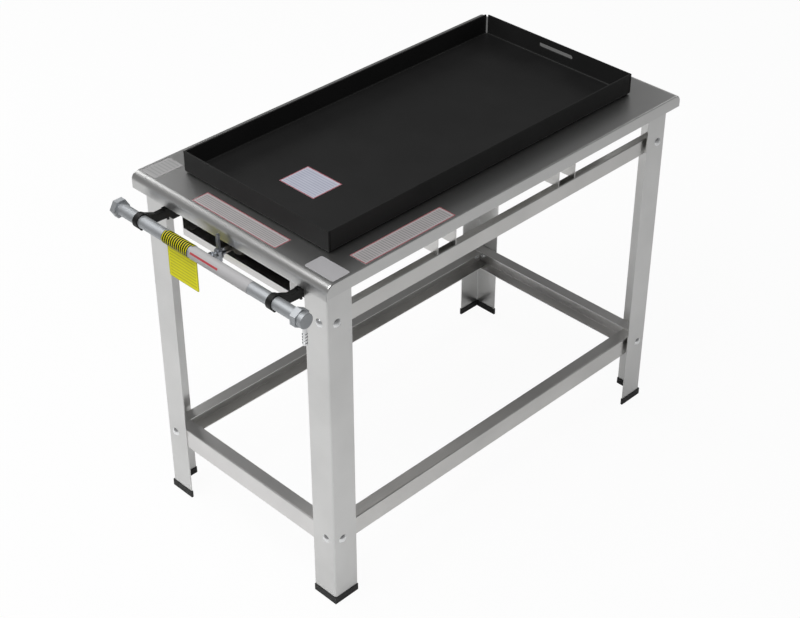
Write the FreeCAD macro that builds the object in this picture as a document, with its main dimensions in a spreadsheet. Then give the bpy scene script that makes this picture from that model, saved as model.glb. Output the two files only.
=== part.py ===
import FreeCAD, Part
import math
import os
import re
import Sketcher

# A free-standing gas flat top griddle: a folded steel tray lies on a sheet-metal table
# with four angle legs, and a pipe along the front feeds one tube burner in a box under it.
# +X is to the right of the person cooking, -Y towards them, +Z up. The origin is on the
# floor, under the middle of the whole part. Lengths are in millimetres.

SIZES = {
    # legs and feet
    "frame_width": 484,
    "frame_length": 913,
    "table_height": 742,
    "leg_flange": 56,
    "leg_sheet": 2,
    "leg_bend": 4,
    "foot_height": 15,
    "foot_base": 3,
    "foot_wall": 1.2,
    # table top
    "table_sheet": 1.5,
    "table_over_side": 18,
    "table_over_end": 15,
    "table_round": 15,
    "table_side_bend": 2.5,
    "table_skirt": 26,
    "table_skirt_front": 31,
    "opening_width": 280,
    "opening_length": 700,
    # rails between the legs
    "rail_sheet": 1.5,
    "rail_bend": 2.5,
    "rail_corner_gap": 2.5,
    "low_rail_web": 45,
    "low_rail_flange": 26.5,
    "low_rail_level": 152.5,
    "side_rail_inset": 7.8,
    "high_rail_web": 33,
    "high_rail_flange": 14.5,
    "high_rail_drop": 98,
    "rail_tab": 26,
    # bolts, nuts and spacers of the frame
    "bolt_inset": 22,
    "bolt_shank": 8,
    "bolt_hole": 8.6,
    "bolt_head": 18,
    "bolt_dome": 4.5,
    "bolt_spare": 2.5,
    "nut_flats": 13,
    "nut_height": 6.5,
    "spacer_od": 16,
    # supports between the upper rails and the burner box
    "support_width": 47.5,
    "support_sheet": 1.5,
    "support_spacing": 326,
    "support_shift": 3,
    # burner box
    "box_width": 289,
    "box_setback": 5.8,
    "box_length": 836,
    "box_depth": 89,
    "box_sheet": 1.2,
    "box_lip": 14.5,
    "vent_diameter": 12,
    "vent_pitch": 40,
    "vent_count": 5,
    "vent_drop": 22,
    # gas pipe
    "gas_drop": 47.5,
    "pipe_out": 59,
    "pipe_od": 24,
    "pipe_wall": 2.6,
    "pipe_over_left": 0.5,
    "pipe_over_right": 4,
    "cap_flats": 32.5,
    "cap_length": 11.5,
    "cap_end": 4,
    "collar_flats": 32,
    "collar_length": 13,
    "outlet_diameter": 29,
    "outlet_length": 11,
    "outlet_round": 1.5,
    "barb_back": 5.2,
    "barb_core": 8,
    "barb_rib": 10,
    "barb_bore": 5,
    "barb_length": 35,
    "barb_pitch": 6,
    "barb_seat": 4,
    "barb_count": 4,
    # pipe clamps
    "clamp_in_left": 62,
    "clamp_in_right": 65.2,
    "clamp_width": 11.5,
    "clamp_wall": 2.5,
    "clamp_gap": 0.3,
    "clamp_arm": 17,
    "clamp_drop": -0.5,
    "clamp_heel": 8,
    "clamp_heel_length": 22,
    "clamp_heel_slope": 6,
    "clamp_screw_in": 14,
    "clamp_boss": 8,
    "clamp_boss_height": 3.2,
    "set_screw": 4.5,
    "set_screw_out": 2.3,
    "tab_width": 11,
    "tab_in": 5,
    "tab_depth": 37,
    "tab_sheet": 2,
    "screw_diameter": 5,
    "screw_head": 9,
    "screw_head_height": 2.6,
    "screw_tail": 7,
    # gas valve
    "valve_back": 29.5,
    "valve_diameter": 13,
    "valve_length": 24,
    "nipple_od": 13.7,
    "nipple_flats": 17,
    "nipple_hexagon": 4,
    "nipple_stand": 0.5,
    "nipple_bore": 8,
    "barrel_diameter": 16,
    "barrel_height": 14,
    "plug_top": 11.6,
    "plug_low": 10.2,
    "plug_gap": 0.05,
    "plug_stand": 0.3,
    "plug_port": 5.6,
    "key_neck": 7,
    "key_neck_height": 2,
    "key_width": 8,
    "key_sheet": 4,
    "key_height": 31,
    "full_round_gap": 0.05,
    "plug_nut_flats": 11,
    "plug_nut_height": 8,
    # burner
    "burner_od": 38,
    "burner_wall": 1.5,
    "burner_length": 620,
    "mixer_setback": 3,
    "mixer_length": 104,
    "mixer_throat": 25,
    "mixer_barrel": 26,
    "mixer_wall": 2,
    "window_width": 12,
    "window_length": 10,
    "shutter_length": 20,
    "shutter_wall": 1.2,
    "shutter_gap": 0.08,
    "shutter_ear": 8,
    "injector_od": 12,
    "injector_nose": 6,
    "injector_reach": 8,
    "injector_bore": 1.6,
    "port_diameter": 3,
    "port_side": 8,
    "port_pitch": 16,
    "port_count": 37,
    "plug_disc": 2,
    "saddle_width": 64,
    "saddle_sheet": 2,
    "saddle_spacing": 420,
    "saddle_gap": 0.2,
    # blank tag that hangs on two rings under a spiral wrap
    "wrap_place": -70.5,
    "wrap_length": 76,
    "wrap_wire": 0.8,
    "wrap_gap": 0.05,
    "ring_size": 4,
    "ring_wire": 1.2,
    "ring_spacing": 50,
    "ring_gap": 0.1,
    "tag_place": -66,
    "tag_width": 81,
    "tag_height": 66,
    "tag_sheet": 1,
    "tag_hole": 2.6,
    "tag_edge": 3.4,
    "tag_play": 0.3,
    # griddle tray
    "tray_width": 380,
    "tray_height": 44,
    "tray_sheet": 3,
    "tray_bend": 5.7,
    "tray_in_front": 69.5,
    "tray_in_rear": 71.3,
    "tray_gap": 1.4,
    "tray_notch": 6,
    "slot_width": 88,
    "slot_height": 9,
    "slot_drop": 17,
    # blank stickers and the blank corner plate
    "label_sheet": 0.3,
    "film_gap": 0.05,
    "front_label_width": 220,
    "front_label_depth": 37,
    "front_label_in": 35.5,
    "front_label_place": 3,
    "side_label_width": 39,
    "side_label_length": 217,
    "side_label_in": 200.5,
    "side_label_edge": 4.2,
    "left_label_width": 41,
    "left_label_length": 65,
    "left_label_edge": 8,
    "left_label_in": 50,
    "plate_width": 70,
    "plate_depth": 40,
    "plate_sheet": 0.8,
    "plate_edge": 4.4,
    "plate_in": 37.5,
    "plate_round": 4,
    "tray_label_width": 90,
    "tray_label_length": 70,
    "tray_label_in": 202.5,
    "sticker_left": -32,
    "sticker_right": 121,
    "sticker_angle": 220,
    "sticker_turn": 30,
}

# Places that several pieces share, as formulas in the sizes. y runs from the middle of the
# four legs here; MIDDLE then moves everything so that the origin is under the whole part.
LEG_FRONT = "(frame_length / 2)"
LEG_SIDE = "(frame_width / 2)"
TABLE_FRONT = "(frame_length / 2 + table_over_end)"
UNDER_TABLE = "(table_height - table_sheet)"
SIDE_WEB = "(frame_width / 2 - side_rail_inset)"
GAS_LEVEL = "(table_height - gas_drop)"
HIGH_RAIL_LEVEL = "(table_height - table_sheet - high_rail_drop)"
HIGH_RAIL_TOP = "(table_height - table_sheet - high_rail_drop + high_rail_web / 2)"
PIPE_LEFT = "(frame_width / 2 + pipe_over_left)"
PIPE_RIGHT = "(frame_width / 2 + pipe_over_right)"
PIPE_Y = "(0 - frame_length / 2 - pipe_out)"
CLAMP_PLACES = (("left", "(clamp_in_left - frame_width / 2)"), ("right", "(frame_width / 2 - clamp_in_right)"))
CLAMP_RADIUS = "(pipe_od / 2 + clamp_gap + clamp_wall)"
TRAY_SHIFT = "((tray_in_front - tray_in_rear) / 2)"
MIDDLE = "((pipe_out + cap_flats / sqrt(3) - table_over_end) / 2)"
VALVE_Y = "(valve_back - frame_length / 2 - pipe_out)"
BOX_FRONT = "(box_setback - frame_length / 2)"
BOX_FLOOR = "(table_height - table_sheet - box_depth + box_sheet)"
MIXER_Y = "(box_setback + mixer_setback - frame_length / 2)"
BURNER_Y = "(box_setback + mixer_setback - frame_length / 2 + mixer_length)"
WRAP_INSIDE = "(pipe_od / 2 + wrap_gap)"
RING_LEVEL = "(table_height - gas_drop - %s - wrap_wire - ring_gap - ring_size / 2 - ring_wire / 2)" \
    % WRAP_INSIDE

doc = FreeCAD.newDocument("flat_top_griddle")
sheet = doc.addObject("Spreadsheet::Sheet", "Sizes")
for row, (word, number) in enumerate(SIZES.items(), start=1):
    sheet.set("A%d" % row, word)
    sheet.set("B%d" % row, str(number))
    sheet.setAlias("B%d" % row, word)
doc.recompute()

nodes = []


def sized(formula):
    """A formula in plain size words, written for the expression engine."""
    return re.sub(r"[a-z][a-z_]*", lambda word: "Sizes." + word.group() if word.group() in SIZES
                  else word.group(), str(formula))


def value(formula):
    return float(sheet.evalExpression(sized(formula)))


def bind(thing, prop, formula):
    thing.setExpression(prop, sized(formula))


def place(thing, x="0", y="0", z="0"):
    """Put a piece's own origin at a place given from the middle of the legs."""
    bind(thing, "Placement.Base.x", x)
    bind(thing, "Placement.Base.y", "%s + %s" % (y, MIDDLE))
    bind(thing, "Placement.Base.z", z)


def turn(thing, axis, degrees):
    thing.Placement = FreeCAD.Placement(thing.Placement.Base, FreeCAD.Rotation(axis, degrees))


def node(thing, label):
    thing.Label = label
    nodes.append(thing)
    return thing


def new_body(name):
    return doc.addObject("PartDesign::Body", name)


def sketch_on(body, name, plane, level="0"):
    """An empty sketch on one of the body's own origin planes, moved along its normal."""
    sketch = body.newObject("Sketcher::SketchObject", name)
    for feature in body.Origin.OriginFeatures:
        if feature.Role == plane:
            sketch.AttachmentSupport = [(feature, "")]
    sketch.MapMode = "FlatFace"
    bind(sketch, "AttachmentOffset.Base.z", level)
    return sketch


def polygon(sketch, corners):
    """A closed outline whose every corner is held by two formulas."""
    first = sketch.GeometryCount
    points = [FreeCAD.Vector(value(x), value(y), 0) for x, y in corners]
    for here, there in zip(points, points[1:] + points[:1]):
        sketch.addGeometry(Part.LineSegment(here, there), False)
    count = len(corners)
    for index in range(count):
        after = first + (index + 1) % count
        sketch.addConstraint(Sketcher.Constraint("Coincident", first + index, 2, after, 1))
    for index, (x, y) in enumerate(corners):
        for kind, formula in (("DistanceX", x), ("DistanceY", y)):
            number = sketch.addConstraint(
                Sketcher.Constraint(kind, -1, 1, first + index, 1, value(formula)))
            bind(sketch, "Constraints[%d]" % number, formula)


def rectangle(sketch, left, right, low, high):
    polygon(sketch, [(left, low), (right, low), (right, high), (left, high)])


def circle(sketch, x, y, diameter):
    centre = FreeCAD.Vector(value(x), value(y), 0)
    number = sketch.addGeometry(Part.Circle(centre, FreeCAD.Vector(0, 0, 1), value(diameter) / 2),
                                False)
    for kind, formula in (("DistanceX", x), ("DistanceY", y)):
        held = sketch.addConstraint(Sketcher.Constraint(kind, -1, 1, number, 3, value(formula)))
        bind(sketch, "Constraints[%d]" % held, formula)
    held = sketch.addConstraint(Sketcher.Constraint("Diameter", number, value(diameter)))
    bind(sketch, "Constraints[%d]" % held, diameter)


def pad(body, sketch, length, backwards=False):
    feature = body.newObject("PartDesign::Pad", sketch.Name + "_pad")
    feature.Profile = sketch
    feature.Reversed = backwards
    bind(feature, "Length", length)
    sketch.Visibility = False
    doc.recompute()
    return feature


def pocket(body, sketch, length, backwards=False):
    before = body.Shape.Volume
    feature = body.newObject("PartDesign::Pocket", sketch.Name + "_pocket")
    feature.Profile = sketch
    feature.Reversed = backwards
    bind(feature, "Length", length)
    doc.recompute()
    if body.Shape.Volume >= before:
        raise RuntimeError("%s cuts nothing" % feature.Name)
    return feature


def revolve(body, sketch, axis="H_Axis"):
    feature = body.newObject("PartDesign::Revolution", sketch.Name + "_turned")
    feature.Profile = sketch
    feature.ReferenceAxis = (sketch, [axis])
    feature.Angle = 360
    doc.recompute()
    return feature


def along(edge, axis):
    """True for a straight edge that runs along one axis."""
    if not isinstance(edge.Curve, Part.Line):
        return False
    return abs(edge.Curve.Direction.dot(axis)) > 0.999


def fillet(body, name, radius, wanted):
    """Round the edges of the body's tip that the test picks, in the body's own frame."""
    tip = body.Tip
    edges = ["Edge%d" % number for number, edge in enumerate(tip.Shape.Edges, start=1)
             if wanted(edge)]
    feature = body.newObject("PartDesign::Fillet", name)
    feature.Base = (tip, edges)
    bind(feature, "Radius", radius)
    doc.recompute()
    return feature


def hollow(body, name, wall, choose):
    """Open the body's lowest (min) or highest (max) face and leave a sheet inside the rest."""
    tip = body.Tip
    faces = tip.Shape.Faces
    opened = choose(range(len(faces)), key=lambda number: faces[number].CenterOfMass.z)
    feature = body.newObject("PartDesign::Thickness", name)
    feature.Base = (tip, ["Face%d" % (opened + 1)])
    bind(feature, "Value", wall)
    feature.Mode = "Skin"
    feature.Join = "Arc"
    feature.Reversed = True
    doc.recompute()
    return feature


def row_of(body, feature, axis, pitch, count):
    """Repeat a feature along one of the body's axes."""
    pattern = body.newObject("PartDesign::LinearPattern", feature.Name + "_row")
    pattern.Originals = [feature]
    for line in body.Origin.OriginFeatures:
        if line.Role == axis:
            pattern.Direction = (line, [""])
    bind(pattern, "Length", "(%s - 1) * %s" % (count, pitch))
    bind(pattern, "Occurrences", count)
    body.Tip = pattern
    doc.recompute()
    return pattern


X = FreeCAD.Vector(1, 0, 0)
Y = FreeCAD.Vector(0, 1, 0)
Z = FreeCAD.Vector(0, 0, 1)
EACH_LEG = [("front_left", -1, -1, 0), ("front_right", 1, -1, 90),
            ("rear_right", 1, 1, 180), ("rear_left", -1, 1, 270)]


def signed(sign, formula):
    return formula if sign > 0 else "(0 - (%s))" % formula


# --- legs: one angle of folded stainless sheet each, with two bolt holes in each flange ---

def angle_outline(sketch, low, flange, thickness):
    polygon(sketch, [(low, low), (flange, low), (flange, thickness), (thickness, thickness),
                     (thickness, flange), (low, flange)])


def make_leg(name, side, end, quarter):
    leg = new_body("leg_" + name)
    section = sketch_on(leg, "leg_section_" + name, "XY_Plane", "foot_base")
    angle_outline(section, "0", "leg_flange", "leg_sheet")
    pad(leg, section, UNDER_TABLE + " - foot_base")
    fillet(leg, "leg_bend_outside_" + name, "leg_bend",
           lambda edge: along(edge, Z) and edge.Vertexes[0].Point.x < 0.01
           and edge.Vertexes[0].Point.y < 0.01)
    inner = value("leg_sheet")
    fillet(leg, "leg_bend_inside_" + name, "leg_bend - leg_sheet",
           lambda edge: along(edge, Z) and abs(edge.Vertexes[0].Point.x - inner) < 0.01
           and abs(edge.Vertexes[0].Point.y - inner) < 0.01)
    for plane, backwards in (("XZ_Plane", False), ("YZ_Plane", False)):
        holes = sketch_on(leg, "leg_holes_%s_%s" % (plane[:2], name), plane,
                          "0 - leg_sheet - 1" if plane == "XZ_Plane" else "leg_sheet + 1")
        for level in ("low_rail_level", HIGH_RAIL_LEVEL):
            circle(holes, "bolt_inset", level, "bolt_hole")
        pocket(leg, holes, "leg_sheet + 2", plane == "XZ_Plane")
    place(leg, signed(side, LEG_SIDE), signed(end, LEG_FRONT))
    turn(leg, Z, quarter)
    return node(leg, "leg_" + name)


# A foot is a black plastic shoe moulded to the leg's own section.
def make_foot(name, side, end, quarter, leg):
    block = new_body("foot_block_" + name)
    section = sketch_on(block, "foot_section_" + name, "XY_Plane")
    angle_outline(section, "0 - foot_wall", "leg_flange + foot_wall", "leg_sheet + foot_wall")
    pad(block, section, "foot_height")
    place(block, signed(side, LEG_SIDE), signed(end, LEG_FRONT))
    turn(block, Z, quarter)
    foot = doc.addObject("Part::Cut", "foot_" + name)
    foot.Base = block
    foot.Tool = leg
    return node(foot, "foot_cap_" + name)


for leg_place in EACH_LEG:
    make_foot(*leg_place, make_leg(*leg_place))


# --- table top: one sheet, rolled over at the front and rear, folded down at the sides ---

def make_table():
    table = new_body("table")
    outline = sketch_on(table, "table_outline", "XY_Plane", "table_height - table_skirt_front")
    half = "(frame_width / 2 + table_over_side)"
    rectangle(outline, "0 - " + half, half, "0 - " + TABLE_FRONT, TABLE_FRONT)
    pad(table, outline, "table_skirt_front")
    top = value("table_height")
    end = value(TABLE_FRONT)
    fillet(table, "table_rolled_ends", "table_round",
           lambda edge: along(edge, X) and abs(edge.Vertexes[0].Point.z - top) < 0.01
           and abs(abs(edge.Vertexes[0].Point.y) - end) < 0.01)
    side = value(half)
    fillet(table, "table_folded_sides", "table_side_bend",
           lambda edge: abs(edge.BoundBox.XMin) > side - 0.01 and edge.BoundBox.XLength < 0.01
           and edge.BoundBox.ZMax > top - value("table_round") + 0.01
           and edge.BoundBox.ZMin > top - value("table_skirt_front") + 0.01)
    hollow(table, "table_shell", "table_sheet", min)
    trim = sketch_on(table, "table_skirt_trim", "XY_Plane", "table_height - table_skirt")
    wide = "(frame_width / 2 + table_over_side + 1)"
    rectangle(trim, "0 - " + wide, wide, "table_sheet - " + TABLE_FRONT, TABLE_FRONT + " + 1")
    pocket(table, trim, "table_skirt_front - table_skirt + 1")
    opening = sketch_on(table, "table_opening", "XY_Plane", "table_height + 1")
    rectangle(opening, "0 - opening_width / 2", "opening_width / 2",
              TRAY_SHIFT + " - opening_length / 2", TRAY_SHIFT + " + opening_length / 2")
    pocket(table, opening, "table_sheet + 2")
    place(table)
    return node(table, "table_top")


make_table()


# --- rails: lower channels and upper angles, folded, bolted behind the leg flanges ---

def channel_outline(sketch, web, flange):
    """A channel's section: web outside at x = 0, flanges towards +x, centred on y = 0."""
    half = "%s / 2" % web
    polygon(sketch, [("0", "0 - " + half), (flange, "0 - " + half),
                     (flange, "rail_sheet - " + half), ("rail_sheet", "rail_sheet - " + half),
                     ("rail_sheet", half + " - rail_sheet"), (flange, half + " - rail_sheet"),
                     (flange, half), ("0", half)])


def angle_outline(sketch, web, flange):
    """An angle's section: the channel's with its upper flange alone."""
    half = "%s / 2" % web
    polygon(sketch, [("0", "0 - " + half), ("rail_sheet", "0 - " + half),
                     ("rail_sheet", half + " - rail_sheet"), (flange, half + " - rail_sheet"),
                     (flange, half), ("0", half)])


def make_rail(name, web, flange, length, angle=False):
    """A rail along the body's own Y, its web facing -X and its flanges towards +X."""
    rail = new_body(name)
    section = sketch_on(rail, name + "_section", "XZ_Plane", "0 - %s / 2" % length)
    if angle:
        angle_outline(section, web, flange)
    else:
        channel_outline(section, web, flange)
    pad(rail, section, length)
    for side, depth, bend in (("inside", value("rail_sheet"), "rail_bend - rail_sheet"),
                              ("outside", 0, "rail_bend")):
        fillet(rail, "%s_%s_bends" % (name, side), bend,
               lambda edge: along(edge, Y) and abs(edge.Vertexes[0].Point.x - depth) < 0.01
               and (edge.Vertexes[0].Point.z > 0 or not angle))
    if angle:
        end = "%s / 2" % length
        for sign in (-1, 1):
            tab = sketch_on(rail, "%s_tab_%d" % (name, sign + 1), "XZ_Plane",
                            end + " - rail_sheet" if sign < 0 else "0 - " + end)
            rectangle(tab, "0", "rail_tab", "rail_bend - %s / 2" % web, "%s / 2 - rail_bend" % web)
            pad(rail, tab, "rail_sheet")
            hole = sketch_on(rail, "%s_tab_hole_%d" % (name, sign + 1), "XZ_Plane",
                             end + " + 1" if sign < 0 else "rail_sheet + 1 - " + end)
            circle(hole, "bolt_inset - side_rail_inset", "0", "bolt_hole")
            pocket(rail, hole, "rail_sheet + 2")
    return rail


def bolt_holes(rail, name, spacing):
    holes = sketch_on(rail, name + "_holes", "YZ_Plane", "rail_sheet + 1")
    circle(holes, "%s / 2" % spacing, "0", "bolt_hole")
    circle(holes, "0 - %s / 2" % spacing, "0", "bolt_hole")
    pocket(rail, holes, "rail_sheet + 2")


def make_low_rails():
    # The front and rear rails lie against the legs, and the side rails nest inside them.
    length = "(frame_width - 2 * leg_sheet - 2 * rail_corner_gap)"
    for name, end, quarter in (("front", -1, 90), ("rear", 1, -90)):
        rail = make_rail("low_rail_" + name, "low_rail_web", "low_rail_flange", length)
        bolt_holes(rail, "low_rail_" + name, "(frame_width - 2 * bolt_inset)")
        place(rail, "0", signed(end, "(frame_length / 2 - leg_sheet)"), "low_rail_level")
        turn(rail, Z, quarter)
        node(rail, "lower_rail_" + name)
    length = "(frame_length - 2 * leg_sheet - 2 * rail_bend)"
    for name, side, quarter in (("left", -1, 0), ("right", 1, 180)):
        rail = make_rail("low_rail_" + name, "(low_rail_web - 2 * rail_sheet)", "low_rail_flange",
                         length)
        bolt_holes(rail, "low_rail_" + name, "(frame_length - 2 * bolt_inset)")
        place(rail, signed(side, SIDE_WEB), "0", "low_rail_level")
        turn(rail, Z, quarter)
        node(rail, "lower_rail_" + name)


def make_high_rails():
    # Only the long sides have upper rails; a tab at each end lies behind the leg's end flange.
    length = "(frame_length - 2 * leg_sheet)"
    for name, side, quarter in (("left", -1, 0), ("right", 1, 180)):
        rail = make_rail("high_rail_" + name, "high_rail_web", "high_rail_flange", length, True)
        bolt_holes(rail, "high_rail_" + name, "(frame_length - 2 * bolt_inset)")
        place(rail, signed(side, SIDE_WEB), "0", HIGH_RAIL_LEVEL)
        turn(rail, Z, quarter)
        node(rail, "upper_rail_" + name)


make_low_rails()
make_high_rails()


# --- frame fasteners: carriage bolts with domed heads outside, nuts inside ---

def dome(diameter, height):
    """A shallow round head that stands on z = 0."""
    radius = (diameter ** 2 / 4 + height ** 2) / (2 * height)
    ball = Part.makeSphere(radius, FreeCAD.Vector(0, 0, height - radius))
    return ball.common(Part.makeCylinder(diameter / 2, height))


def hexagon(flats, height, bore=0):
    corner = flats / math.sqrt(3)
    points = [FreeCAD.Vector(corner * math.cos(math.radians(60 * turn_number)),
                             corner * math.sin(math.radians(60 * turn_number)), 0)
              for turn_number in range(7)]
    block = Part.Face(Part.makePolygon(points)).extrude(FreeCAD.Vector(0, 0, height))
    if bore:
        block = block.cut(Part.makeCylinder(bore / 2, height))
    return block


def group(label, solids):
    thing = doc.addObject("Part::Feature", label)
    thing.Shape = Part.makeCompound(solids)
    place(thing)
    return node(thing, label)


def facing(shape, direction, x, y, z):
    """A copy of a shape made along +Z, turned to face a direction and put at a place."""
    copy = shape.copy()
    copy.Placement = FreeCAD.Placement(FreeCAD.Vector(x, y, z),
                                       FreeCAD.Rotation(Z, direction))
    return copy


def make_fasteners():
    side_stack = sheet.side_rail_inset + sheet.rail_sheet
    end_stack = sheet.leg_sheet + sheet.rail_sheet
    spacer_height = sheet.side_rail_inset - sheet.leg_sheet
    head = dome(sheet.bolt_head, sheet.bolt_dome)
    nut = hexagon(sheet.nut_flats, sheet.nut_height, sheet.bolt_shank)
    spacer = Part.makeCylinder(sheet.spacer_od / 2, spacer_height)
    spacer = spacer.cut(Part.makeCylinder(sheet.bolt_hole / 2, spacer_height))
    bolts, nuts, spacers = [], [], []
    for name, side, end, quarter in EACH_LEG:
        for level in (sheet.low_rail_level, value(HIGH_RAIL_LEVEL)):
            for outward, stack in ((FreeCAD.Vector(0, end, 0), end_stack),
                                   (FreeCAD.Vector(side, 0, 0), side_stack)):
                length = stack + sheet.nut_height + sheet.bolt_spare
                shank = Part.makeCylinder(sheet.bolt_shank / 2, length,
                                          FreeCAD.Vector(0, 0, -length))
                spot = FreeCAD.Vector(side * (sheet.frame_width / 2 - sheet.bolt_inset),
                                      end * sheet.frame_length / 2, level)
                if outward.x:
                    spot = FreeCAD.Vector(side * sheet.frame_width / 2,
                                          end * (sheet.frame_length / 2 - sheet.bolt_inset), level)
                bolts.append(facing(head.fuse(shank), outward, *spot))
                seat = spot - outward * stack
                nuts.append(facing(nut, -outward, *seat))
                if outward.x:
                    seat = spot - outward * sheet.leg_sheet
                    spacers.append(facing(spacer, -outward, *seat))
    group("frame_bolts", bolts)
    group("frame_nuts", nuts)
    group("rail_spacers", spacers)


make_fasteners()


# --- supports: short inverted channels from each upper rail to the burner box ---

def make_supports():
    for name, side, end, quarter in EACH_LEG:
        support = new_body("support_" + name)
        section = sketch_on(support, "support_section_" + name, "YZ_Plane", "box_width / 2")
        half = "support_width / 2"
        drop = "(%s - %s)" % (HIGH_RAIL_TOP, UNDER_TABLE)
        polygon(section, [("0 - " + half, drop), ("support_sheet - " + half, drop),
                          ("support_sheet - " + half, "0 - support_sheet"),
                          (half + " - support_sheet", "0 - support_sheet"),
                          (half + " - support_sheet", drop), (half, drop), (half, "0"),
                          ("0 - " + half, "0")])
        pad(support, section, SIDE_WEB + " - box_width / 2")
        place(support, "0", "support_shift + %s" % signed(end, "support_spacing / 2"), UNDER_TABLE)
        if side < 0:
            turn(support, Z, 180)
        node(support, "cross_support_" + name)


# --- burner box: a sheet pan under the opening, with an open front over a low lip ---

def make_box():
    box = new_body("burner_box")
    half = "box_width / 2"
    outline = sketch_on(box, "box_outline", "XY_Plane")
    rectangle(outline, "0 - " + half, half, "0", "box_length")
    pad(box, outline, "box_depth")
    inside = sketch_on(box, "box_inside", "XY_Plane", "box_depth + 1")
    rectangle(inside, "box_sheet - " + half, half + " - box_sheet", "box_sheet",
              "box_length - box_sheet")
    pocket(box, inside, "box_depth + 1 - box_sheet")
    mouth = sketch_on(box, "box_mouth", "XZ_Plane", "0 - box_sheet - 1")
    rectangle(mouth, "box_sheet - " + half, half + " - box_sheet", "box_lip", "box_depth + 1")
    pocket(box, mouth, "box_sheet + 2", True)
    vent = sketch_on(box, "box_vent", "XZ_Plane", "0 - box_length - 1")
    circle(vent, "0 - (vent_count - 1) * vent_pitch / 2", "box_depth - vent_drop", "vent_diameter")
    hole = pocket(box, vent, "box_sheet + 2", True)
    row_of(box, hole, "X_Axis", "vent_pitch", "vent_count")
    place(box, "0", BOX_FRONT, UNDER_TABLE + " - box_depth")
    node(box, "burner_box")


make_supports()
make_box()


# --- gas pipe along the front: pipe, hexagon cap, outlet fitting and ribbed hose barb ---

def make_pipe():
    pipe = new_body("manifold")
    ring = sketch_on(pipe, "pipe_section", "YZ_Plane", "0 - " + PIPE_LEFT)
    circle(ring, "0", "0", "pipe_od")
    circle(ring, "0", "0", "pipe_od - 2 * pipe_wall")
    pad(pipe, ring, "%s + %s" % (PIPE_LEFT, PIPE_RIGHT))
    tapping = sketch_on(pipe, "pipe_tapping", "XZ_Plane", "0 - pipe_od / 2 - 1")
    circle(tapping, "0", "0", "nipple_od")
    pocket(pipe, tapping, "pipe_od / 2 + 1", True)
    place(pipe, "0", PIPE_Y, GAS_LEVEL)
    node(pipe, "manifold_pipe")


def hexagon_sketch(body, name, level, flats, points_up=False):
    """A hexagon across the YZ plane, with flats or with points above and below."""
    sketch = sketch_on(body, name, "YZ_Plane", level)
    corner = "(%s / sqrt(3))" % flats
    half = "(%s / 2)" % flats
    corners = [(corner, "0"), (corner + " / 2", half), ("0 - %s / 2" % corner, half),
               ("0 - " + corner, "0"), ("0 - %s / 2" % corner, "0 - " + half),
               (corner + " / 2", "0 - " + half)]
    polygon(sketch, [(high, wide) for wide, high in corners] if points_up else corners)
    return sketch


def make_pipe_ends():
    cap = new_body("cap")
    pad(cap, hexagon_sketch(cap, "cap_hexagon", "0 - cap_end", "cap_flats"), "cap_length")
    socket = sketch_on(cap, "cap_socket", "YZ_Plane")
    circle(socket, "0", "0", "pipe_od")
    pocket(cap, socket, "cap_length", True)
    place(cap, "0 - " + PIPE_LEFT, PIPE_Y, GAS_LEVEL)
    node(cap, "pipe_end_cap")

    outlet = new_body("outlet")
    collar = hexagon_sketch(outlet, "outlet_collar", "0 - collar_length", "collar_flats", True)
    pad(outlet, collar, "collar_length")
    dome_end = sketch_on(outlet, "outlet_round_end", "YZ_Plane")
    circle(dome_end, "0", "0", "outlet_diameter")
    pad(outlet, dome_end, "outlet_length")
    length = value("outlet_length")
    fillet(outlet, "outlet_soft_rim", "outlet_round",
           lambda edge: abs(edge.BoundBox.XMin - length) < 0.01)
    socket = sketch_on(outlet, "outlet_socket", "YZ_Plane", "0 - collar_length - 1")
    circle(socket, "0", "0", "pipe_od")
    pocket(outlet, socket, "collar_length + 1", True)
    chamber = sketch_on(outlet, "outlet_chamber", "YZ_Plane", "0 - 1")
    circle(chamber, "0", "0", "pipe_od - 2 * pipe_wall")
    pocket(outlet, chamber, "outlet_length - pipe_wall + 1", True)
    seat = sketch_on(outlet, "outlet_barb_seat", "XY_Plane", "0 - outlet_diameter / 2 - 1")
    circle(seat, "barb_back", "0", "barb_core")
    pocket(outlet, seat, "(outlet_diameter - pipe_od) / 2 + pipe_wall + 2", True)
    place(outlet, PIPE_RIGHT, PIPE_Y, GAS_LEVEL)
    node(outlet, "outlet_fitting")

    # The hose barb is turned: a plain shank in the fitting, then ribs that grip the hose.
    barb = new_body("barb")
    profile = sketch_on(barb, "barb_profile", "XZ_Plane")
    core = "barb_core / 2"
    corners = [("barb_bore / 2", "barb_seat"), ("barb_bore / 2", "0 - barb_length")]
    for number in range(int(sheet.barb_count)):
        low = "(%d * barb_pitch - barb_length)" % number
        shoulder = low + " + 0.75 * barb_pitch"
        corners += [(core, low), ("barb_rib / 2", shoulder), (core, shoulder)]
    corners.append((core, "barb_seat"))
    polygon(profile, corners)
    revolve(barb, profile, "V_Axis")
    place(barb, PIPE_RIGHT + " + barb_back", PIPE_Y, GAS_LEVEL + " - outlet_diameter / 2")
    node(barb, "hose_barb")


make_pipe()
make_pipe_ends()


# --- pipe clamps: black clips round the pipe, a set screw below, arms screwed under tabs ---

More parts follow.
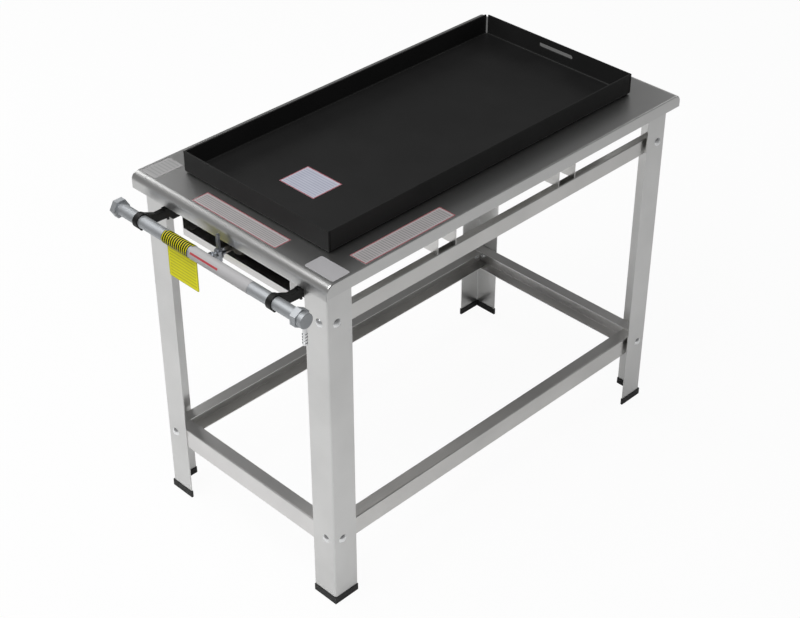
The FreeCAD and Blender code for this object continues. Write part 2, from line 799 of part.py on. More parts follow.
def make_clamps():
    back = "(pipe_out - table_over_end + table_sheet)"
    top = "(0 - clamp_drop)"
    bottom = "(0 - clamp_drop - clamp_arm)"
    heel = "(0 - clamp_drop - clamp_arm - clamp_heel)"
    reach = back + " + tab_depth"
    for name, middle in CLAMP_PLACES:
        clamp = new_body("clamp_" + name)
        hook = sketch_on(clamp, "clamp_hook_" + name, "YZ_Plane", "0 - clamp_width / 2")
        circle(hook, "0", "0", "2 * " + CLAMP_RADIUS)
        pad(clamp, hook, "clamp_width")
        arm = sketch_on(clamp, "clamp_arm_" + name, "YZ_Plane", "0 - clamp_width / 2")
        polygon(arm, [("0", CLAMP_RADIUS), ("0.3 * " + CLAMP_RADIUS, "0.95 * " + CLAMP_RADIUS),
                      ("0.9 * " + CLAMP_RADIUS, "0.6 * " + CLAMP_RADIUS),
                      ("1.5 * " + CLAMP_RADIUS, "0.35 * " + CLAMP_RADIUS),
                      ("2.2 * " + CLAMP_RADIUS, top), (reach, top), (reach, heel),
                      (reach + " - clamp_heel_length + clamp_heel_slope", heel),
                      (reach + " - clamp_heel_length", bottom), (back + " - clamp_arm", bottom + " * 0.9"),
                      ("0", "0 - 0.8 * " + CLAMP_RADIUS)])
        pad(clamp, arm, "clamp_width")
        boss = sketch_on(clamp, "clamp_boss_" + name, "XY_Plane", "0 - pipe_od / 2")
        circle(boss, "0", "0", "clamp_boss")
        pad(clamp, boss, "clamp_gap + clamp_wall + clamp_boss_height", True)
        bore = sketch_on(clamp, "clamp_bore_" + name, "YZ_Plane", "0 - clamp_width / 2 - 1")
        circle(bore, "0", "0", "pipe_od + 2 * clamp_gap")
        pocket(clamp, bore, "clamp_width + 2", True)
        thread = sketch_on(clamp, "clamp_thread_" + name, "XY_Plane")
        circle(thread, "0", "0", "set_screw")
        pocket(clamp, thread, "2 * " + CLAMP_RADIUS)
        hole = sketch_on(clamp, "clamp_hole_" + name, "XY_Plane", top + " + 1")
        circle(hole, "0", back + " + clamp_screw_in", "screw_diameter")
        pocket(clamp, hole, "clamp_arm + clamp_heel + 2")
        place(clamp, middle, PIPE_Y, GAS_LEVEL)
        node(clamp, "pipe_clamp_" + name)

        # The tab runs back over the arm, then up to the underside of the table.
        tab = new_body("tab_" + name)
        bend = sketch_on(tab, "tab_section_" + name, "YZ_Plane", "0 - tab_width / 2")
        front = back + " + tab_in"
        rise = "(gas_drop - table_sheet)"
        polygon(bend, [(front, top), (reach, top), (reach, rise), (reach + " - tab_sheet", rise),
                       (reach + " - tab_sheet", top + " + tab_sheet"),
                       (front, top + " + tab_sheet")])
        pad(tab, bend, "tab_width")
        hole = sketch_on(tab, "tab_hole_" + name, "XY_Plane", top + " + tab_sheet + 1")
        circle(hole, "0", back + " + clamp_screw_in", "screw_diameter")
        pocket(tab, hole, "tab_sheet + 2")
        place(tab, middle, PIPE_Y, GAS_LEVEL)
        node(tab, "clamp_tab_" + name)


def make_clamp_screws():
    seat = value(GAS_LEVEL) - sheet.clamp_drop + sheet.tab_sheet
    length = sheet.tab_sheet + sheet.clamp_arm + sheet.screw_tail
    y = sheet.clamp_screw_in + sheet.table_sheet - sheet.frame_length / 2 - sheet.table_over_end
    screws = []
    point = value(GAS_LEVEL) - sheet.pipe_od / 2 - sheet.clamp_gap
    grip = sheet.clamp_wall + sheet.clamp_boss_height + sheet.set_screw_out
    for name, middle in CLAMP_PLACES:
        x = value(middle)
        screw = dome(sheet.screw_head, sheet.screw_head_height)
        shank = Part.makeCylinder(sheet.screw_diameter / 2, length, FreeCAD.Vector(0, 0, -length))
        screws.append(facing(screw.fuse(shank), Z, x, y, seat))
        foot = FreeCAD.Vector(x, -sheet.frame_length / 2 - sheet.pipe_out, point - grip)
        screws.append(Part.makeCylinder(sheet.set_screw / 2, grip, foot))
    group("clamp_screws", screws)


make_clamps()
make_clamp_screws()


# --- gas valve: a straight cock with a tapered plug, turned by a flat upright key ---

def make_valve():
    nipple = new_body("nipple")
    ring = sketch_on(nipple, "nipple_section", "XZ_Plane")
    circle(ring, "0", "0", "nipple_od")
    circle(ring, "0", "0", "nipple_bore")
    pad(nipple, ring, "valve_back - valve_length / 2 - pipe_od / 2 + pipe_wall")
    flats = sketch_on(nipple, "nipple_flats_sketch", "XZ_Plane", "nipple_stand")
    corner = "(nipple_flats / sqrt(3))"
    half = "(nipple_flats / 2)"
    polygon(flats, [("0", corner), (half, corner + " / 2"), (half, "0 - %s / 2" % corner),
                    ("0", "0 - " + corner), ("0 - " + half, "0 - %s / 2" % corner),
                    ("0 - " + half, corner + " / 2")])
    circle(flats, "0", "0", "nipple_bore")
    pad(nipple, flats, "nipple_hexagon")
    place(nipple, "0", VALVE_Y + " - valve_length / 2", GAS_LEVEL)
    node(nipple, "valve_nipple")

    valve = new_body("valve")
    body_end = sketch_on(valve, "valve_section", "XZ_Plane", "0 - valve_length / 2")
    circle(body_end, "0", "0", "valve_diameter")
    pad(valve, body_end, "valve_length")
    barrel = sketch_on(valve, "valve_barrel", "XY_Plane", "0 - barrel_height / 2")
    circle(barrel, "0", "0", "barrel_diameter")
    pad(valve, barrel, "barrel_height")
    seat = sketch_on(valve, "valve_plug_seat", "XZ_Plane")
    low = "0 - barrel_height / 2 - 1"
    high = "barrel_height / 2 + 1"
    slope = "((plug_top - plug_low) / 2 / (barrel_height + 2 * plug_stand))"
    low_radius = "(plug_low / 2 + plug_gap + (plug_stand - 1) * %s)" % slope
    high_radius = "(plug_top / 2 + plug_gap - (plug_stand - 1) * %s)" % slope
    polygon(seat, [("0", low), (low_radius, low), (high_radius, high), ("0", high)])
    cone = valve.newObject("PartDesign::Groove", "valve_plug_bore")
    cone.Profile = seat
    cone.ReferenceAxis = (seat, ["V_Axis"])
    cone.Angle = 360
    doc.recompute()
    way = sketch_on(valve, "valve_way", "XZ_Plane", "0 - valve_length / 2 - 1")
    circle(way, "0", "0", "nipple_bore")
    pocket(valve, way, "valve_length + 2", True)
    place(valve, "0", VALVE_Y, GAS_LEVEL)
    node(valve, "valve_body")

    plug = new_body("plug")
    taper = sketch_on(plug, "plug_taper", "XZ_Plane")
    low = "(0 - barrel_height / 2 - plug_stand)"
    high = "(barrel_height / 2 + plug_stand)"
    polygon(taper, [("0", low), ("plug_low / 2", low), ("plug_top / 2", high), ("0", high)])
    revolve(plug, taper, "V_Axis")
    port = sketch_on(plug, "plug_port", "YZ_Plane", "0 - plug_top")
    circle(port, "0", "0", "plug_port")
    pocket(plug, port, "2 * plug_top", True)
    place(plug, "0", VALVE_Y, GAS_LEVEL)
    node(plug, "valve_plug")

    key = new_body("key")
    neck = sketch_on(key, "key_neck_section", "XY_Plane")
    circle(neck, "0", "0", "key_neck")
    pad(key, neck, "key_neck_height")
    blade = sketch_on(key, "key_blade", "XZ_Plane", "0 - key_sheet / 2")
    rectangle(blade, "0 - key_width / 2", "key_width / 2", "key_neck_height",
              "key_neck_height + key_height")
    pad(key, blade, "key_sheet")
    top = value("key_neck_height + key_height")
    fillet(key, "key_round_top", "key_width / 2 - full_round_gap",
           lambda edge: along(edge, Y) and edge.Vertexes[0].Point.z > top - 0.01)
    place(key, "0", VALVE_Y, GAS_LEVEL + " + barrel_height / 2 + plug_stand")
    node(key, "valve_key")

    nut = new_body("plug_nut")
    flats = sketch_on(nut, "plug_nut_flats", "XY_Plane")
    corner = "(plug_nut_flats / sqrt(3))"
    half = "(plug_nut_flats / 2)"
    polygon(flats, [("0", corner), (half, corner + " / 2"), (half, "0 - %s / 2" % corner),
                    ("0", "0 - " + corner), ("0 - " + half, "0 - %s / 2" % corner),
                    ("0 - " + half, corner + " / 2")])
    pad(nut, flats, "plug_nut_height")
    place(nut, "0", VALVE_Y,
          GAS_LEVEL + " - barrel_height / 2 - plug_stand - plug_nut_height")
    node(nut, "plug_nut")


make_valve()


# --- burner: injector, mixer with an air shutter, ported tube, end disc and saddles ---

def make_burner():
    injector = new_body("injector")
    profile = sketch_on(injector, "injector_profile", "YZ_Plane")
    start = "(%s + valve_length / 2 - %s)" % (VALVE_Y, MIXER_Y)
    end = "(mixer_wall + injector_reach)"
    polygon(profile, [(start, "injector_bore / 2"), (end, "injector_bore / 2"),
                      (end, "injector_nose / 2"), ("0", "injector_nose / 2"),
                      ("0", "injector_od / 2"), (start, "injector_od / 2")])
    revolve(injector, profile)
    place(injector, "0", MIXER_Y, GAS_LEVEL)
    node(injector, "gas_injector")

    # The mixer is spun steel: a closed mouth with four air windows, a throat, a wide tail.
    mixer = new_body("mixer")
    profile = sketch_on(mixer, "mixer_profile", "YZ_Plane")
    wide = "burner_od / 2"
    narrow = "mixer_throat / 2"
    barrel = "mixer_barrel"
    waist = "(mixer_barrel + 0.3 * (mixer_length - mixer_barrel))"
    outside = [("0", wide), (barrel, wide), (waist, narrow), ("mixer_length", wide)]
    inside = [("mixer_length", wide + " - mixer_wall"), (waist, narrow + " - mixer_wall"),
              (barrel, wide + " - mixer_wall"), ("mixer_wall", wide + " - mixer_wall"),
              ("mixer_wall", "injector_nose / 2"), ("0", "injector_nose / 2")]
    polygon(profile, outside + inside)
    revolve(mixer, profile)
    cut_windows(mixer, "mixer", "mixer_barrel / 2")
    place(mixer, "0", MIXER_Y, GAS_LEVEL)
    node(mixer, "burner_mixer")

    shutter = new_body("shutter")
    ring = sketch_on(shutter, "shutter_section", "XZ_Plane", "0 - shutter_length")
    bore = "(burner_od + 2 * shutter_gap)"
    circle(ring, "0", "0", bore + " + 2 * shutter_wall")
    circle(ring, "0", "0", bore)
    pad(shutter, ring, "shutter_length")
    ear = sketch_on(shutter, "shutter_ear", "XZ_Plane", "0 - shutter_wall")
    rectangle(ear, bore + " / 2 + shutter_wall / 2", bore + " / 2 + shutter_ear",
              "0 - shutter_ear / 2", "shutter_ear / 2")
    pad(shutter, ear, "shutter_wall")
    cut_windows(shutter, "shutter", "shutter_length / 2")
    place(shutter, "0", MIXER_Y + " + mixer_barrel / 2 - shutter_length / 2", GAS_LEVEL)
    node(shutter, "air_shutter")

    burner = new_body("burner")
    ring = sketch_on(burner, "burner_section", "XZ_Plane")
    circle(ring, "0", "0", "burner_od")
    circle(ring, "0", "0", "burner_od - 2 * burner_wall")
    pad(burner, ring, "burner_length", True)
    ports = sketch_on(burner, "burner_ports", "XY_Plane", "burner_od / 2 + 1")
    first = "(burner_length - (port_count - 1) * port_pitch) / 2"
    circle(ports, "port_side", first, "port_diameter")
    circle(ports, "0 - port_side", first, "port_diameter")
    drilled = pocket(burner, ports, "burner_od / 2 + 1")
    row_of(burner, drilled, "Y_Axis", "port_pitch", "port_count")
    place(burner, "0", BURNER_Y, GAS_LEVEL)
    node(burner, "burner_tube")

    disc = doc.addObject("Part::Cylinder", "burner_disc")
    bind(disc, "Radius", "burner_od / 2")
    bind(disc, "Height", "plug_disc")
    turn(disc, X, -90)
    place(disc, "0", BURNER_Y + " + burner_length", GAS_LEVEL)
    node(disc, "burner_end_disc")


def cut_windows(body, name, middle):
    """Four air windows round a tube along Y: two cut from above, two from the right."""
    for plane, deep in (("XY_Plane", "z"), ("YZ_Plane", "x")):
        windows = sketch_on(body, "%s_windows_%s" % (name, deep), plane, "burner_od")
        low, high = "%s - window_length / 2" % middle, "%s + window_length / 2" % middle
        if plane == "XY_Plane":
            rectangle(windows, "0 - window_width / 2", "window_width / 2", low, high)
        else:
            rectangle(windows, low, high, "0 - window_width / 2", "window_width / 2")
        pocket(body, windows, "2 * burner_od")


def make_saddles():
    for name, sign in (("front", -1), ("rear", 1)):
        saddle = new_body("saddle_" + name)
        plate = sketch_on(saddle, "saddle_plate_" + name, "XZ_Plane")
        rectangle(plate, "0 - saddle_width / 2", "saddle_width / 2",
                  "%s - %s" % (BOX_FLOOR, GAS_LEVEL), "0")
        pad(saddle, plate, "saddle_sheet")
        notch = sketch_on(saddle, "saddle_notch_" + name, "XZ_Plane", "0 - 1")
        circle(notch, "0", "0", "burner_od + 2 * saddle_gap")
        pocket(saddle, notch, "saddle_sheet + 2", True)
        middle = "%s + burner_length / 2" % BURNER_Y
        place(saddle, "0", "%s + %s" % (middle, signed(sign, "saddle_spacing / 2")), GAS_LEVEL)
        node(saddle, "burner_saddle_" + name)


make_burner()
make_saddles()


# --- tag: a spiral wrap on the pipe, two rings under it, and a blank plate that swings ---

def make_tag():
    left = FreeCAD.Vector(sheet.wrap_place - sheet.wrap_length / 2, value(PIPE_Y), value(GAS_LEVEL))
    inside = value(WRAP_INSIDE)
    wrap = Part.makeCylinder(inside + sheet.wrap_wire, sheet.wrap_length, left, X)
    group("spiral_wrap", [wrap.cut(Part.makeCylinder(inside, sheet.wrap_length, left, X))])
    rings = []
    for side in (-1, 1):
        spot = FreeCAD.Vector(sheet.tag_place + side * sheet.ring_spacing / 2, left.y,
                              value(RING_LEVEL))
        rings.append(Part.makeTorus(sheet.ring_size / 2, sheet.ring_wire / 2, spot, X))
    group("tag_rings", rings)

    tag = new_body("tag")
    plate = sketch_on(tag, "tag_plate", "XZ_Plane", "0 - tag_sheet / 2")
    hole_level = "(tag_play + ring_wire / 2 - ring_size / 2 - tag_hole / 2)"
    top = "(%s + tag_edge)" % hole_level
    rectangle(plate, "0 - tag_width / 2", "tag_width / 2", top + " - tag_height", top)
    pad(tag, plate, "tag_sheet")
    fillet(tag, "tag_round_corners", "tag_edge", lambda edge: along(edge, Y))
    holes = sketch_on(tag, "tag_holes", "XZ_Plane", "0 - tag_sheet")
    circle(holes, "0 - ring_spacing / 2", hole_level, "tag_hole")
    circle(holes, "ring_spacing / 2", hole_level, "tag_hole")
    pocket(tag, holes, "2 * tag_sheet", True)
    place(tag, "tag_place", PIPE_Y, RING_LEVEL)
    node(tag, "hanging_tag")


make_tag()


# --- griddle tray: one folded steel sheet, slit open at its corners, with a hand slot ---

def make_tray():
    tray = new_body("tray")
    wide = "tray_width / 2"
    deep = "(frame_length + 2 * table_over_end - tray_in_front - tray_in_rear) / 2"
    outline = sketch_on(tray, "tray_outline", "XY_Plane")
    rectangle(outline, "0 - " + wide, wide, "0 - " + deep, deep)
    pad(tray, outline, "tray_height")
    fillet(tray, "tray_bends", "tray_bend",
           lambda edge: edge.BoundBox.ZMax < 0.01)
    hollow(tray, "tray_sheet_shell", "tray_sheet", max)
    notch = sketch_on(tray, "tray_slits", "XY_Plane", "tray_height + 1")
    near = deep + " - tray_sheet"
    for name, side, end, quarter in EACH_LEG:
        x_side = [signed(side, formula) for formula in (wide + " + 1", wide + " - tray_notch")]
        y_side = [signed(end, formula) for formula in (near + " - tray_gap", near)]
        rectangle(notch, x_side[0], x_side[1], y_side[0], y_side[1])
    pocket(tray, notch, "tray_height + 2")
    drain = sketch_on(tray, "tray_drain_corner", "XY_Plane", "tray_height + 1")
    rectangle(drain, "0 - %s - 1" % wide, "tray_notch - " + wide, near + " - tray_gap / 2",
              deep + " + 1")
    pocket(tray, drain, "tray_height + 2")
    slot = sketch_on(tray, "tray_hand_slot", "XZ_Plane", "0 - %s - 1" % deep)
    low = "tray_height - slot_drop - slot_height / 2"
    rectangle(slot, "0 - slot_width / 2", "slot_width / 2", low, low + " + slot_height")
    pocket(tray, slot, "tray_sheet + 2", True)
    inner = value("slot_width / 2")
    fillet(tray, "tray_slot_ends", "slot_height / 2 - full_round_gap",
           lambda edge: along(edge, Y) and abs(abs(edge.Vertexes[0].Point.x) - inner) < 0.01
           and abs(edge.Vertexes[0].Point.y) > value(deep) - value("tray_sheet") - 0.01)
    place(tray, "0", TRAY_SHIFT, "table_height")
    node(tray, "griddle_tray")


make_tray()


# --- blank stickers, and the blank plate at the front right corner of the table ---

def flat_plate(label, width, length, sheet_size, x, y, level, rounding=None):
    plate = new_body(label)
    outline = sketch_on(plate, label + "_outline", "XY_Plane")
    rectangle(outline, "0 - %s / 2" % width, "%s / 2" % width, "0 - %s / 2" % length,
              "%s / 2" % length)
    pad(plate, outline, sheet_size)
    if rounding:
        fillet(plate, label + "_corners", rounding, lambda edge: along(edge, Z))
    place(plate, x, y, level)
    return node(plate, label)


def make_labels():
    flat_plate("front_label", "front_label_width", "front_label_depth", "label_sheet", "front_label_place",
               "front_label_in - " + TABLE_FRONT, "table_height")
    flat_plate("side_label", "side_label_width", "side_label_length", "label_sheet",
               LEG_SIDE + " + table_over_side - side_label_edge - side_label_width / 2",
               "side_label_in - " + TABLE_FRONT, "table_height")
    flat_plate("left_label", "left_label_width", "left_label_length", "label_sheet",
               "left_label_edge + left_label_width / 2 - (%s + table_over_side)" % LEG_SIDE,
               "left_label_in - " + TABLE_FRONT, "table_height")
    flat_plate("corner_plate", "plate_width", "plate_depth", "plate_sheet",
               LEG_SIDE + " + table_over_side - plate_edge - plate_width / 2",
               "plate_in - " + TABLE_FRONT, "table_height", "plate_round")
    flat_plate("tray_label", "tray_label_width", "tray_label_length", "label_sheet", "0",
               "tray_label_in - " + TABLE_FRONT, "table_height + tray_sheet")
    centre = FreeCAD.Vector(sheet.sticker_left, value(PIPE_Y), value(GAS_LEVEL))
    length = sheet.sticker_right - sheet.sticker_left
    inside = sheet.pipe_od / 2 + sheet.film_gap
    outer = Part.makeCylinder(inside + sheet.label_sheet, length, centre, X, sheet.sticker_angle)
    skin = outer.cut(Part.makeCylinder(inside, length, centre, X))
    skin.rotate(centre, X, -sheet.sticker_turn)
    group("pipe_sticker", [skin])


make_labels()


# --- every piece is checked, then each is written to a file of its own ---

doc.recompute()
for thing in doc.Objects:
    if "Invalid" in thing.State or "Error" in thing.State:
        raise RuntimeError("%s: %s" % (thing.Name, thing.State))
for thing in nodes:
    if thing.Shape.isNull() or not thing.Shape.isValid() or not thing.Shape.Solids:
        raise RuntimeError("%s has no valid solid" % thing.Label)
os.makedirs("parts", exist_ok=True)
for thing in nodes:
    thing.Shape.exportStep("parts/%s.step" % thing.Label)
    box = thing.Shape.BoundBox
    print("%-24s %2d solids %10.0f mm3  x %7.1f %7.1f  y %7.1f %7.1f  z %7.1f %7.1f" % (
        thing.Label, len(thing.Shape.Solids), thing.Shape.Volume,
        box.XMin, box.XMax, box.YMin, box.YMax, box.ZMin, box.ZMax))
print(len(nodes), "nodes")
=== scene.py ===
import math

import bpy
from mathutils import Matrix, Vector


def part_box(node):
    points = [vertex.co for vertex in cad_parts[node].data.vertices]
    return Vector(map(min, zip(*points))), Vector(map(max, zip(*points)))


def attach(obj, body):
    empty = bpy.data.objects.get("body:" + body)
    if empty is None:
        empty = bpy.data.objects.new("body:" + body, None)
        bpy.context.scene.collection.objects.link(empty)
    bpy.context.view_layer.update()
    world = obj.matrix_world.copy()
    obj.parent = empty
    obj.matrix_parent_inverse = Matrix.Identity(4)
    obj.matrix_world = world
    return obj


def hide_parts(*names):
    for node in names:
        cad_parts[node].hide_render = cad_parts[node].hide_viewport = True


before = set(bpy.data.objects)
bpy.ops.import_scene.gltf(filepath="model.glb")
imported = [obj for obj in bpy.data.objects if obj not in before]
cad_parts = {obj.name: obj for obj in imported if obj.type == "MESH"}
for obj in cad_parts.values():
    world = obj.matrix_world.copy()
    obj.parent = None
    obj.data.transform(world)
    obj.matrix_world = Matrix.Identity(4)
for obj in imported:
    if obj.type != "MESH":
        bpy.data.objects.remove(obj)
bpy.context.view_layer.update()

scene = bpy.context.scene

# Camera. It stands off the front right corner of the table, well above it, with a long lens,
# and looks down into the tray and along the gas pipe. Its colours are shown as they are, with
# no film look.
viewpoint = Vector((1.9406, -1.9535, 2.2939))
aim = Vector((0.0512, -0.0648, 0.4058))
bpy.ops.object.camera_add(location=viewpoint)
camera = bpy.context.object
camera.rotation_euler = (aim - viewpoint).to_track_quat("-Z", "Y").to_euler()
camera.data.lens = 75.8  # millimetres, as is the sensor's width
camera.data.sensor_width = 36
camera.data.shift_x = 0.00074
camera.data.shift_y = 0.00104
scene.camera = camera
scene.view_settings.view_transform = "Standard"


# Studio. A plain white floor under a white surround. A large soft box hangs high in front of
# the table, and two weaker ones stand low to its left and behind it. The light of the surround
# itself weakens towards the ceiling, so that level sheets look darker than upright ones.
def linear(hex_colour):
    """An sRGB hex colour as the linear colour that a shader takes."""
    channels = [int(hex_colour[i:i + 2], 16) / 255 for i in (1, 3, 5)]
    return [c / 12.92 if c <= 0.04045 else ((c + 0.055) / 1.055) ** 2.4 for c in channels] + [1]


def add_node(tree, kind, inputs=(), **settings):
    """One shader node, with its settings, and with values or links for the named inputs."""
    node = tree.nodes.new(kind)
    for name, setting in settings.items():
        setattr(node, name, setting)
    for name, source in dict(inputs).items():
        if isinstance(source, bpy.types.NodeSocket):
            tree.links.new(source, node.inputs[name])
        else:
            node.inputs[name].default_value = source
    return node


def new_material(name):
    material = bpy.data.materials.new(name)
    material.use_nodes = True
    material.node_tree.nodes.clear()
    return material, material.node_tree


table_middle = Vector((0, 0, 0.4))


def soft_box(name, compass, height, distance, size, power):
    """A round soft box that faces the middle of the table. compass is in degrees from the front
    of the table, to the right, height is in degrees above the floor, and power is in watts."""
    turn = math.radians(compass)
    lift = math.radians(height)
    away = Vector((math.sin(turn) * math.cos(lift), -math.cos(turn) * math.cos(lift),
                   math.sin(lift)))
    bpy.ops.object.light_add(type="AREA", location=table_middle + distance * away)
    lamp = bpy.context.object
    lamp.name = name
    lamp.data.shape = "DISK"
    lamp.data.size = size
    lamp.data.energy = power
    lamp.rotation_euler = (-away).to_track_quat("-Z", "Y").to_euler()


soft_box("key_high_front", compass=0, height=60, distance=2.8, size=2.2, power=61)
soft_box("fill_left", compass=270, height=28, distance=3.0, size=1.8, power=25)
soft_box("fill_rear", compass=180, height=28, distance=3.0, size=1.8, power=10)


def seen_white(tree, reflected):
    """How much of the plain white a ray sees: all of it from the camera and through clear
    things, and a share of it in a reflection."""
    path = add_node(tree, "ShaderNodeLightPath")
    mirror = add_node(tree, "ShaderNodeMath", {0: path.outputs["Is Glossy Ray"], 1: reflected},
                      operation="MULTIPLY")
    direct = add_node(tree, "ShaderNodeMath", {0: path.outputs["Is Camera Ray"],
                                               1: path.outputs["Is Transmission Ray"]},
                      operation="MAXIMUM")
    either = add_node(tree, "ShaderNodeMath", {0: direct.outputs[0], 1: mirror.outputs[0]},
                      operation="MAXIMUM")
    return either.outputs[0]


light_at_horizon = 0.30
light_at_ceiling = 0.10
ceiling_from = 0.6  # the sine of the angle above the floor where the ceiling begins
white_mirrored_above = 0.01
world = bpy.data.worlds.new("white_surround")
scene.world = world
world.use_nodes = True
sky = world.node_tree
sky.nodes.clear()
way = add_node(sky, "ShaderNodeTexCoord")
rise = add_node(sky, "ShaderNodeSeparateXYZ", {0: way.outputs["Generated"]})
fade = add_node(sky, "ShaderNodeMapRange", {"Value": rise.outputs[2], "From Min": 0.0,
                                            "From Max": ceiling_from,
                                            "To Min": light_at_horizon,
                                            "To Max": light_at_ceiling})
room = add_node(sky, "ShaderNodeBackground", {"Color": linear("#ffffff"),
                                              "Strength": fade.outputs[0]})
white = add_node(sky, "ShaderNodeBackground", {"Color": linear("#ffffff"), "Strength": 1.0})
either = add_node(sky, "ShaderNodeMixShader", {0: seen_white(sky, white_mirrored_above),
                                               1: room.outputs[0], 2: white.outputs[0]})
add_node(sky, "ShaderNodeOutputWorld", {"Surface": either.outputs[0]})

floor_size = 30.0
white_mirrored_below = 0.15
paper_glow = 0.95  # the rest of the paper takes the shadow of the table
bpy.ops.mesh.primitive_plane_add(size=floor_size)
floor = bpy.context.object
floor.name = "studio_floor"
paper, tree = new_material("white_studio_paper")
matt = add_node(tree, "ShaderNodeBsdfDiffuse", {"Color": linear("#f4f4f4")})
glow = add_node(tree, "ShaderNodeEmission", {"Color": linear("#ffffff"), "Strength": 1.0})
share = add_node(tree, "ShaderNodeMath", {0: seen_white(tree, white_mirrored_below),
                                          1: paper_glow}, operation="MULTIPLY")
both = add_node(tree, "ShaderNodeMixShader", {0: share.outputs[0], 1: matt.outputs[0],
                                              2: glow.outputs[0]})
add_node(tree, "ShaderNodeOutputMaterial", {"Surface": both.outputs[0]})
floor.data.materials.append(paper)


# Legs. Four angles of folded stainless sheet, each with a wide flange to the side and one to
# the end of the table, drilled for the bolts of the rails. Their satin finish runs up and down,
# as the sheet was rolled, and draws each highlight out into a soft band across it.
def dress(material, *names):
    """Give CAD nodes a finish."""
    for name in names:
        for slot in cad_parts[name].material_slots:
            slot.material = material


def satin_sheet(name, colour, roughness, grain, spread=0.02, relief=0.001, cloudiness=0.05):
    """Satin stainless sheet. Fine long scratches run with the grain, in the gloss and in the
    relief, and the metal is a little cloudy where it was handled. grain is how many scratches
    there are in a metre along X, Y and Z: real ones lie 0.1 mm apart, and they are drawn 0.7 to
    2 mm apart, so that they show. spread is how much the roughness varies from one to the next,
    and cloudiness how much the colour varies."""
    clouds_in_metre = 9.0
    scratch_height = 0.001
    material, tree = new_material(name)
    place = add_node(tree, "ShaderNodeTexCoord")
    stretch = add_node(tree, "ShaderNodeMapping", {"Vector": place.outputs["Object"],
                                                   "Scale": grain})
    scratches = add_node(tree, "ShaderNodeTexNoise", {"Vector": stretch.outputs[0], "Scale": 1.0,
                                                      "Detail": 3.0, "Roughness": 0.6})
    gloss = add_node(tree, "ShaderNodeMapRange", {"Value": scratches.outputs[0],
                                                  "From Min": 0.3, "From Max": 0.7,
                                                  "To Min": roughness - spread,
                                                  "To Max": roughness + spread})
    cloud = add_node(tree, "ShaderNodeTexNoise", {"Vector": place.outputs["Object"],
                                                  "Scale": clouds_in_metre, "Detail": 2.0})
    tint = add_node(tree, "ShaderNodeMapRange", {"Value": cloud.outputs[0], "From Min": 0.3,
                                                 "From Max": 0.7, "To Min": 1 - cloudiness,
                                                 "To Max": 1 + cloudiness})
    colours = add_node(tree, "ShaderNodeVectorMath", {0: linear(colour)[:3]}, operation="SCALE")
    tree.links.new(tint.outputs[0], colours.inputs["Scale"])
    bump = add_node(tree, "ShaderNodeBump", {"Height": scratches.outputs[0], "Strength": relief,
                                             "Distance": scratch_height})
    skin = add_node(tree, "ShaderNodeBsdfPrincipled", {
        "Base Color": colours.outputs[0], "Metallic": 1.0, "Roughness": gloss.outputs[0],
        "Normal": bump.outputs[0]})
    add_node(tree, "ShaderNodeOutputMaterial", {"Surface": skin.outputs[0]})
    return material


CORNERS = ("front_left", "front_right", "rear_right", "rear_left")
leg_sheet = satin_sheet("satin_stainless_leg", "#dadad9", roughness=0.31,
                        grain=(1400, 1400, 12))
dress(leg_sheet, *["leg_" + corner for corner in CORNERS])


# Foot caps. Black polypropylene shoes, moulded in one piece and pushed on the lower ends of the
# legs. They are matt, with a fine spark-eroded grain that takes the shine off their edges.
def grained(name, colour, metallic, roughness, grit, relief, mottle=0.08, shine=0.5):
    """A coating, casting or moulding: a fine grit in the relief and a soft mottle in the
    colour. grit is how many grains there are in a metre: real ones are 0.05 to 0.3 mm across,
    and they are drawn 1 to 4 mm across, so that they show. shine is the specular level."""
    clouds_in_metre = 14.0
    grain_height = 0.001
    material, tree = new_material(name)
    place = add_node(tree, "ShaderNodeTexCoord")
    grains = add_node(tree, "ShaderNodeTexNoise", {"Vector": place.outputs["Object"],
                                                   "Scale": grit, "Detail": 4.0})
    cloud = add_node(tree, "ShaderNodeTexNoise", {"Vector": place.outputs["Object"],
                                                  "Scale": clouds_in_metre, "Detail": 3.0})
    tint = add_node(tree, "ShaderNodeMapRange", {"Value": cloud.outputs[0], "From Min": 0.3,
                                                 "From Max": 0.7, "To Min": 1 - mottle,
                                                 "To Max": 1 + mottle})
    colours = add_node(tree, "ShaderNodeVectorMath", {0: linear(colour)[:3]}, operation="SCALE")
    tree.links.new(tint.outputs[0], colours.inputs["Scale"])
    bump = add_node(tree, "ShaderNodeBump", {"Height": grains.outputs[0], "Strength": relief,
                                             "Distance": grain_height})
    skin = add_node(tree, "ShaderNodeBsdfPrincipled", {
        "Base Color": colours.outputs[0], "Metallic": metallic, "Roughness": roughness,
        "Specular IOR Level": shine, "Normal": bump.outputs[0]})
    add_node(tree, "ShaderNodeOutputMaterial", {"Surface": skin.outputs[0]})
    return material


foot_moulding = grained("black_moulded_polypropylene", "#1c1c1c", metallic=0.0, roughness=0.6,
                        grit=900, relief=0.1)
dress(foot_moulding, *["foot_cap_" + corner for corner in CORNERS])

# Rails. Folded channels between the legs below, and folded angles along the sides above, bolted
# through the legs' flanges. The sheet's grain runs along each rail, so a highlight lies across
# the rail in a soft band.
end_rail_sheet = satin_sheet("satin_stainless_end_rail", "#e1e0df", roughness=0.31,
                             grain=(12, 1400, 1400))
dress(end_rail_sheet, "lower_rail_front", "lower_rail_rear")
side_rail_sheet = satin_sheet("satin_stainless_side_rail", "#dbdad8", roughness=0.31,
                              grain=(1400, 12, 1400))
dress(side_rail_sheet, "lower_rail_left", "lower_rail_right", "upper_rail_left",
      "upper_rail_right")

